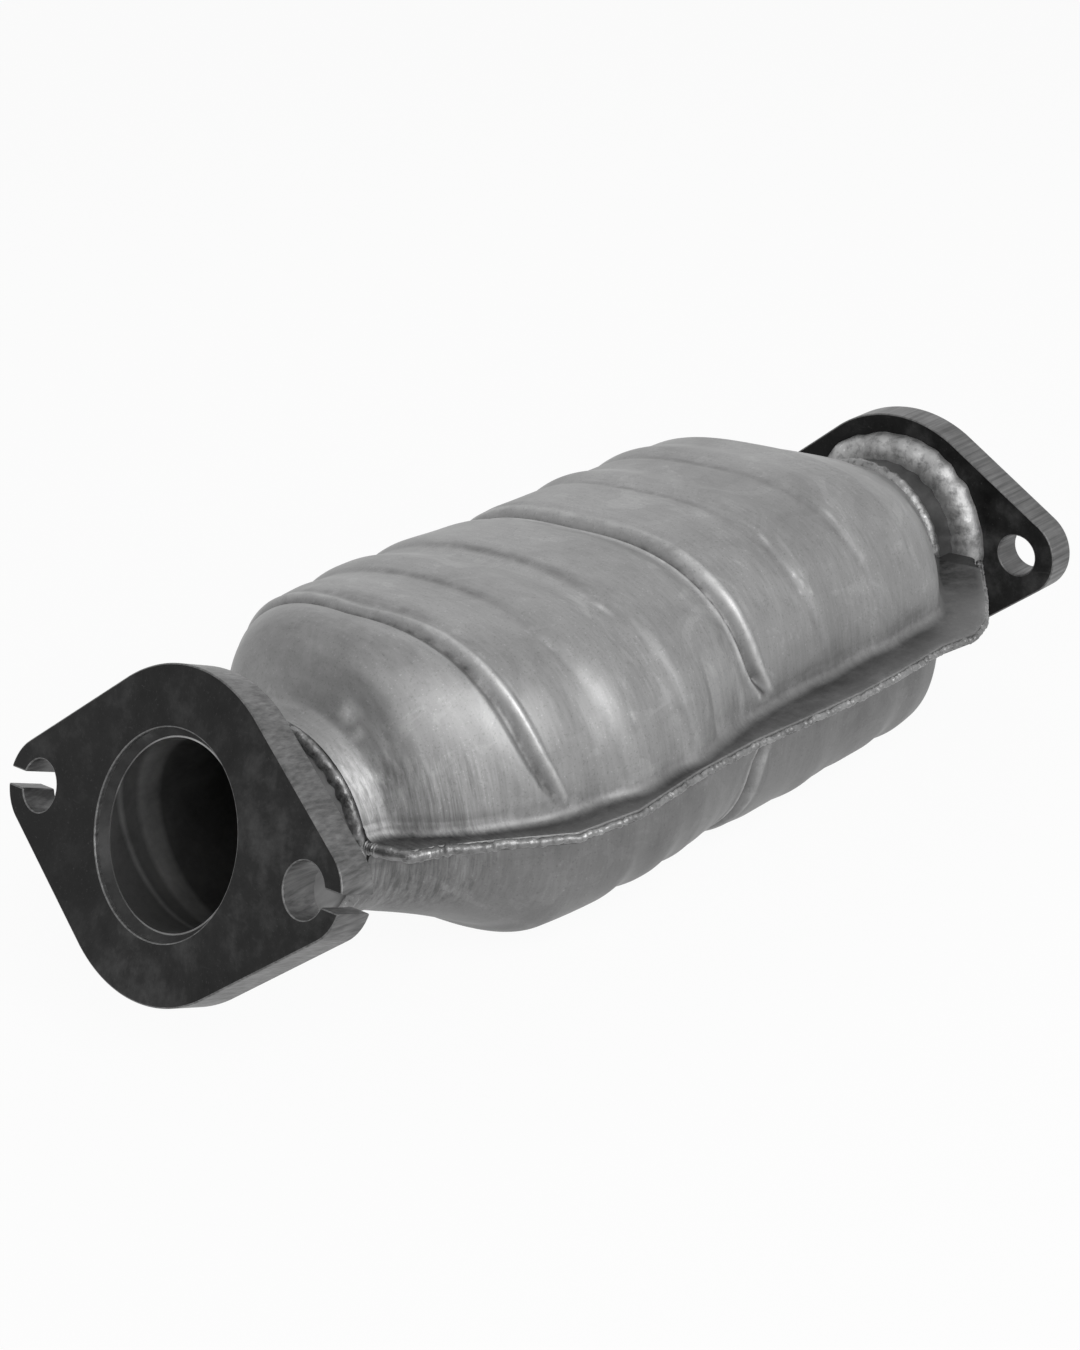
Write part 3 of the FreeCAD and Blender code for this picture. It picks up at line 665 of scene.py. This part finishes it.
def half_shell(node, shape, side, material):
    """One stamped half: its far side, then its near side towards the camera, from lip to lip."""
    y, z, wear_and_painted_light, before_wall = half_columns(along(LENGTH_SHARES), shape)
    x = along(LENGTH_SHARES)[:, None] + 0 * y
    near_y, near_wear_and_painted_light = -y, wear_and_painted_light.copy()
    if side > 0:
        up = np.degrees(np.arctan2(z, y))
        wear_and_painted_light += marked(x, up, PAINTED_SHADE_MARKS)
        near_wear_and_painted_light = wear_and_painted_light + marked(x, up, CONE_SMEARS + RIB_HIGHLIGHTS + SPATTER)
        pad = (plateau(x - along(PAD_X), PAD_HALF_X, PAD_EDGE)
               * plateau(z - PAD_Z, PAD_HALF_Z, PAD_EDGE))
        near_y = near_y + PAD_DEPTH * pad
        near_wear_and_painted_light += PAD_LIGHT * pad
    far = with_caps(np.stack([x, y, z], axis=2), before_wall)
    near = with_caps(np.stack([x, near_y, z], axis=2), before_wall)
    points = np.concatenate([far, near[:, -2::-1]], axis=1) * (1, 1, side) + (0, 0, AXIS_Z)
    mesh = grid_mesh(node + "_skin", points)
    wear_and_painted_light = np.concatenate([wear_and_painted_light, near_wear_and_painted_light[:, -2::-1]], axis=1)
    wear_and_painted_light = np.concatenate([wear_and_painted_light[:1], wear_and_painted_light, wear_and_painted_light[-1:]])
    # Stored on the mesh: painted highlights and shade, with the smears, spatter and pad as real
    # marks.
    values = mesh.attributes.new("wear_and_painted_light", "FLOAT", "POINT").data
    values.foreach_set("value", wear_and_painted_light.astype(np.float32).ravel())
    mesh.set_sharp_from_angle(angle=math.radians(SKIN_SHARP))
    add_piece(node + "_skin", mesh, [node], [material])


half_shell("upper_shell", UPPER, 1, MATERIALS["satin_stainless"])
# The lower shell takes the darker copy of the sheet, as painted shade.
half_shell("lower_shell", LOWER, -1, SHADED_LOWER_SHEET)

NOTCH = 1.5 * MM
TAB_CORNER = 3.5 * MM
TAB_LAP = 0.5 * MM


def rear_tabs():
    """The lip's ends behind the rear mouth, one plate on each side of the outlet neck."""
    inner, outer = MOUTH + NOTCH, MOUTH + REAR_LIP_SHARE * LIP
    start = REAR - TAB_LAP
    corner = arc_points((LIP_END - TAB_CORNER, outer - TAB_CORNER), TAB_CORNER, 0, math.pi / 2, 8)
    outline = [(start, inner), (LIP_END, inner)] + corner + [(start, float(lip_edge(start)))]
    mesh = bmesh.new()
    faces = []
    for side in (1, -1):
        verts = [mesh.verts.new((x, side * y, AXIS_Z - WALL)) for x, y in outline]
        faces.append(mesh.faces.new(verts))
    push_out(mesh, faces, (0, 0, 2 * WALL))
    tabs = as_mesh(mesh, "rear_lip_tabs")
    # The tabs take the darkest copy of the sheet, as painted shade.
    piece = add_piece("rear_lip_tabs", tabs, [], [SHADED_LIP_SHEET])
    round_edges(piece, EDGE_ROUND)


rear_tabs()


# ---------------------------------------------------------------- weld beads

BEAD = 1.2 * MM
BEAD_STEPS, BEAD_FRONT_STEPS, BEAD_SIDES = 620, 20, 12
BEAD_START = 0.5 * MM
# The seam bead is thicker along the front cone, and thins out over this length.
THICK_SHARE, THICK_END, THICK_REACH = 0.7, 0.16, 40 * MM
SWELL_SHARE, DRIFT_SHARE = 0.20, 0.25
SWELL_WAVES, DRIFT_WAVES = range(90, 190, 7), range(20, 70, 5)
SWELL_SEED, DRIFT_SEED = 3, 9

RING_AROUND, RING_ACROSS = 300, 14
FILLET_POWER, DOME_POWER = 0.75, 0.6
RING_LUMP, RING_SWAY, RING_EDGE = 0.06, 0.09, 0.10
RING_FULL, TOE_FULL = 0.94, 0.92


def lumps(count, terms, seed):
    """Smooth random wave of unit height with this many samples, closed on itself."""
    source = np.random.RandomState(seed)
    turn = np.linspace(0, 2 * math.pi, count, endpoint=False)
    wave = sum(source.uniform(0.4, 1) * np.sin(k * turn + source.uniform(0, 2 * math.pi))
               for k in terms)
    return wave / np.abs(wave).max()


def seam_bead(side):
    """Thin speckled bead along the lip's front edge and its long edge."""
    xs = np.linspace(FRONT, LIP_END, BEAD_STEPS)
    ys = lip_edge(xs)
    front = np.linspace(MOUTH + BEAD_START, ys[0], BEAD_FRONT_STEPS)[:-1]
    xs = np.concatenate([np.full(len(front), xs[0]), xs])
    ys = np.concatenate([front, ys])
    path = np.stack([xs, side * ys], axis=1)
    way = np.gradient(path, axis=0)
    way /= np.linalg.norm(way, axis=1)[:, None]
    across = np.stack([way[:, 1], -way[:, 0]], axis=1) * side
    count = len(path)
    thick = 1 + THICK_SHARE * np.clip((along(THICK_END) - xs) / THICK_REACH, 0, 1)
    uneven = 1 - SWELL_SHARE + SWELL_SHARE * lumps(count, SWELL_WAVES, SWELL_SEED + side)
    swell = (BEAD * thick * uneven)[:, None]
    drift = (DRIFT_SHARE * BEAD * lumps(count, DRIFT_WAVES, DRIFT_SEED + side))[:, None]
    turns = np.linspace(0, 2 * math.pi, BEAD_SIDES, endpoint=False)
    out = swell * np.cos(turns)
    points = np.stack([path[:, :1] + across[:, :1] * out, path[:, 1:] + across[:, 1:] * out,
                       AXIS_Z + swell * np.sin(turns) + drift], axis=2)
    name = "seam_bead_left" if side > 0 else "seam_bead_right"
    mesh = grid_mesh(name, points, close_across=True)
    add_piece(name, mesh, [name.replace("bead", "weld")], [SEAM_WELD])


def ring_bead(node, placing, foot, toe, height, waves, seed, material, domed=False):
    """Irregular bead round a tube: a fillet that runs from its foot on a plate to its toe, or
    one domed between the two. waves is about how many ripples go round it."""
    lump = (lumps(RING_AROUND, range(waves - 9, waves + 10, 3), seed) * RING_LUMP
            + lumps(RING_AROUND, range(3, 12, 2), seed + 1) * RING_SWAY)
    edge = lumps(RING_AROUND, range(waves - 8, waves + 9, 4), seed + 2) * RING_EDGE
    turns = np.linspace(0, 2 * math.pi, RING_AROUND, endpoint=False)
    rows = []
    for step in range(RING_ACROSS + 1):
        share = step / RING_ACROSS
        quarter = share * math.pi / 2
        run, rise = math.sin(quarter), math.cos(quarter) ** FILLET_POWER
        if domed:
            run, rise = share, math.sin(2 * quarter) ** DOME_POWER
        radius = TUBE + height * rise * (RING_FULL + lump)
        x = foot + (toe - foot) * run * (TOE_FULL + edge)
        rows.append(np.stack([x, radius * np.cos(turns), radius * np.sin(turns)], axis=1))
    mesh = grid_mesh(node + "_bead", np.array(rows), close_across=True)
    mesh.transform(placing)
    add_piece(node + "_bead", mesh, [node], [material])


for side in (1, -1):
    seam_bead(side)
ring_bead("inlet_flange_weld", PITCHED, PLATE, PLATE + 11.0 * MM, height=8.4 * MM,
          waves=34, seed=11, material=SMEARED_WELD)
ring_bead("inlet_neck_weld", ON_AXIS, FRONT + 0.5 * MM, FRONT - 3.4 * MM, height=2.6 * MM,
          waves=40, seed=21, material=DULL_WELD, domed=True)
ring_bead("outlet_neck_weld", ON_AXIS, REAR - 1.5 * MM, REAR + 4.5 * MM, height=3.6 * MM,
          waves=44, seed=31, material=DULL_WELD, domed=True)
ring_bead("outlet_flange_weld", ON_AXIS, OUTLET_BACK, OUTLET_BACK - 6.0 * MM, height=8.4 * MM,
          waves=24, seed=41, material=BRIGHT_WELD)


# ---------------------------------------------------------------- flanges

INLET_SLIT = 4.2 * MM
PLATE_ROUND = 0.45 * MM
EAR_STEPS, KEYHOLE_STEPS, ROUND_STEPS, BORE_STEPS = 40, 40, 48, 96
CUT_FACES = 1


def flange_loops(centre_radius, ear_radius, bolt_half, hole, slit):
    """Outline with its keyholes, or round holes as loops of their own, in (y, up the face)."""
    lean = math.acos((centre_radius - ear_radius) / bolt_half)
    holes = []
    outline = []
    for way in (0, math.pi):
        ear = (-bolt_half if way else bolt_half, 0)
        if slit:
            mouth = math.asin(slit / 2 / ear_radius)
            gap = math.asin(slit / 2 / hole)
            outline += arc_points(ear, ear_radius, way - lean, way - mouth, EAR_STEPS // 2)
            outline += arc_points(ear, hole, way - gap, way - 2 * math.pi + gap, KEYHOLE_STEPS)
            outline += arc_points(ear, ear_radius, way + mouth, way + lean, EAR_STEPS // 2)
        else:
            outline += arc_points(ear, ear_radius, way - lean, way + lean, EAR_STEPS)
            holes.append(arc_points(ear, hole, 0, 2 * math.pi, ROUND_STEPS)[:-1])
        flank = arc_points((0, 0), centre_radius, way + lean, way + math.pi - lean, ROUND_STEPS)
        outline += flank[1:-1]
    return outline, holes


def flange(name, mount, size_node, slit):
    """Plate cut from thick sheet: dark rolled faces and bright flame-cut rims."""
    bolts = MOUNTS[mount + "_bolts"]
    face, outward = Vector(bolts["pos_m"]), Vector(bolts["axis"])
    pitch = math.asin(abs(outward.z))
    low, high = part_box(size_node)
    bolt_half = bolts["dims"]["pcd_mm"] / 2 * MM
    ear_radius = high.y - bolt_half
    centre_radius = (high.z - low.z - PLATE * math.sin(pitch)) / 2 / math.cos(pitch)
    hole = bolts["dims"]["hole_r_mm"] * MM
    outline, holes = flange_loops(centre_radius, ear_radius, bolt_half, hole, slit)
    bore = arc_points((0, 0), BORE, 0, 2 * math.pi, BORE_STEPS)[:-1]

    mesh = bmesh.new()
    edges = []
    for loop in [outline, bore] + holes:
        verts = [mesh.verts.new((0, y, z)) for y, z in loop]
        edges += [mesh.edges.new((a, b)) for a, b in zip(verts, verts[1:] + verts[:1])]
    bmesh.ops.triangle_fill(mesh, use_beauty=True, use_dissolve=False, edges=edges,
                            normal=(-1, 0, 0))
    push_out(mesh, list(mesh.faces), (PLATE, 0, 0))
    bmesh.ops.dissolve_limit(mesh, angle_limit=0.01, verts=mesh.verts, edges=mesh.edges)
    plate = as_mesh(mesh, name)
    materials = [MATERIALS["mill_scale_plate"], CUT_RIM]
    piece = add_piece(name, plate, [size_node], materials)
    for polygon in plate.polygons:
        rim = abs(polygon.normal.x) < 0.5
        polygon.material_index = CUT_FACES if rim else 0
        polygon.use_smooth = rim
    if outward.x < 0:
        plate.transform(Matrix.Translation(face) @ PITCHED)
    else:
        plate.transform(Matrix.Translation(face - outward * PLATE))
    round_edges(piece, PLATE_ROUND, CUT_FACES)


flange("inlet_flange_plate", "inlet", "inlet_flange", INLET_SLIT)
flange("outlet_flange_plate", "outlet", "outlet_flange", 0)


# ---------------------------------------------------------------- nodes that keep their CAD shape

for subpart in RECORD["subparts"]:
    node = frame["nodes"][subpart["node"]]
    if node.hide_render:
        continue
    node.data.materials.clear()
    # The weld inside the inlet bore gets the near-black painted shade.
    in_bore_shade = subpart["node"] == "inlet_bore_weld"
    node.data.materials.append(BORE_SHADE if in_bore_shade else MATERIALS[subpart["material_slot"]])


# ---------------------------------------------------------------- floor, light and camera

FLOOR_HALF, FLOOR_GAP, FLOOR_GLOW = 6.0, 0.2 * MM, 0.94
SKY, OVERHEAD, SKY_START = 0.44, 0.38, 0.2
# Place from the middle of the part, size and power of every light.
LIGHTS = {"key": ((-0.35, -1.15, 0.75), (1.1, 0.9), 11.3),
          "fill": ((-1.1, -0.5, 0.6), (0.7, 0.7), 1.6),
          "rim": ((0.7, 0.6, 0.9), (0.6, 0.4), 0.8)}
TURN, TIP, ROLL = math.radians(43.87), math.radians(22.18), math.radians(-3.88)
AIM = Vector((0.11465, -0.01568, AXIS_Z + 0.01218))
DISTANCE = 0.6182
FOCAL_LENGTH, SENSOR = 78.13, 36
IMAGE_WIDTH, SHIFT_UP = 1080, 15


def seen_directly(nodes, links):
    """1 for what the camera sees, also in a reflection or through glass."""
    path = nodes.new("ShaderNodeLightPath")
    value = path.outputs["Is Camera Ray"]
    for ray in ("Is Glossy Ray", "Is Transmission Ray"):
        either = nodes.new("ShaderNodeMath")
        either.operation = "MAXIMUM"
        links.new(value, either.inputs[0])
        links.new(path.outputs[ray], either.inputs[1])
        value = either.outputs[0]
    return value


def floor():
    """Pale floor just under the part, glowing a little where it is looked at."""
    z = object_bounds()[0][2] - FLOOR_GAP
    corners = [(x * FLOOR_HALF, y * FLOOR_HALF, z) for x, y in ((-1, -1), (1, -1), (1, 1), (-1, 1))]
    mesh = bpy.data.meshes.new("floor")
    mesh.from_pydata(corners, [], [(0, 1, 2, 3)])
    piece = bpy.data.objects.new("floor", mesh)
    bpy.context.scene.collection.objects.link(piece)
    tree = Tree("pale_floor")
    color = tree.ramp(tree.noise(3, 2), [(0.0, 0.93), (1.0, 0.96)])
    mesh.materials.append(tree.finish(color, 0.9, None, 0.0, 0.1))
    glow = tree.nodes.new("ShaderNodeEmission")
    blend = tree.nodes.new("ShaderNodeMixShader")
    share = tree.math("MULTIPLY", seen_directly(tree.nodes, tree.links), FLOOR_GLOW)
    for socket, source in zip(blend.inputs, (share, tree.shader.outputs[0], glow.outputs[0])):
        tree.link(source, socket)
    tree.link(blend.outputs[0], tree.nodes["Material Output"].inputs["Surface"])
    piece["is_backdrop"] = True


def world():
    """White where it is looked at; as light it is softer, and darker overhead."""
    studio = bpy.data.worlds.new("studio")
    bpy.context.scene.world = studio
    studio.use_nodes = True
    nodes, links = studio.node_tree.nodes, studio.node_tree.links
    background = nodes["Background"]
    background.inputs["Color"].default_value = (1, 1, 1, 1)
    strength = nodes.new("ShaderNodeMapRange")
    strength.inputs["To Max"].default_value = 1.0
    links.new(seen_directly(nodes, links), strength.inputs["Value"])
    links.new(strength.outputs["Result"], background.inputs["Strength"])
    parts = nodes.new("ShaderNodeSeparateXYZ")
    links.new(nodes.new("ShaderNodeTexCoord").outputs["Generated"], parts.inputs[0])
    sky = nodes.new("ShaderNodeMapRange")
    for socket, value in (("From Min", SKY_START), ("From Max", 1.0),
                          ("To Min", SKY), ("To Max", SKY * OVERHEAD)):
        sky.inputs[socket].default_value = value
    links.new(parts.outputs["Z"], sky.inputs["Value"])
    links.new(sky.outputs["Result"], strength.inputs["To Min"])


def area_light(name, offset, size, power):
    centre = (Vector(CAD_BOX[0]) + Vector(CAD_BOX[1])) / 2
    lamp = bpy.data.lights.new(name, "AREA")
    lamp.shape = "RECTANGLE"
    lamp.size, lamp.size_y = size
    lamp.energy = power
    item = bpy.data.objects.new(name, lamp)
    item.location = centre + Vector(offset)
    item.rotation_euler = (-Vector(offset)).to_track_quat("-Z", "Y").to_euler()
    bpy.context.scene.collection.objects.link(item)


def camera():
    look = Vector((math.cos(TURN) * math.cos(TIP), math.sin(TURN) * math.cos(TIP), -math.sin(TIP)))
    right = Vector((math.sin(TURN), -math.cos(TURN), 0))
    up = right.cross(look)
    side = math.cos(ROLL) * right + math.sin(ROLL) * up
    top = -math.sin(ROLL) * right + math.cos(ROLL) * up
    lens = bpy.data.cameras.new("camera")
    lens.sensor_fit = "HORIZONTAL"
    lens.sensor_width = SENSOR
    lens.lens = FOCAL_LENGTH
    lens.shift_y = SHIFT_UP / IMAGE_WIDTH
    lens.clip_start = 0.01
    item = bpy.data.objects.new("camera", lens)
    bpy.context.scene.collection.objects.link(item)
    turned = Matrix((side, top, -look)).transposed().to_4x4()
    item.matrix_world = Matrix.Translation(AIM - look * DISTANCE) @ turned
    bpy.context.scene.camera = item


floor()
world()
for name, (offset, size, power) in LIGHTS.items():
    area_light(name, offset, size, power)
camera()
bpy.context.scene.view_settings.view_transform = "Standard"
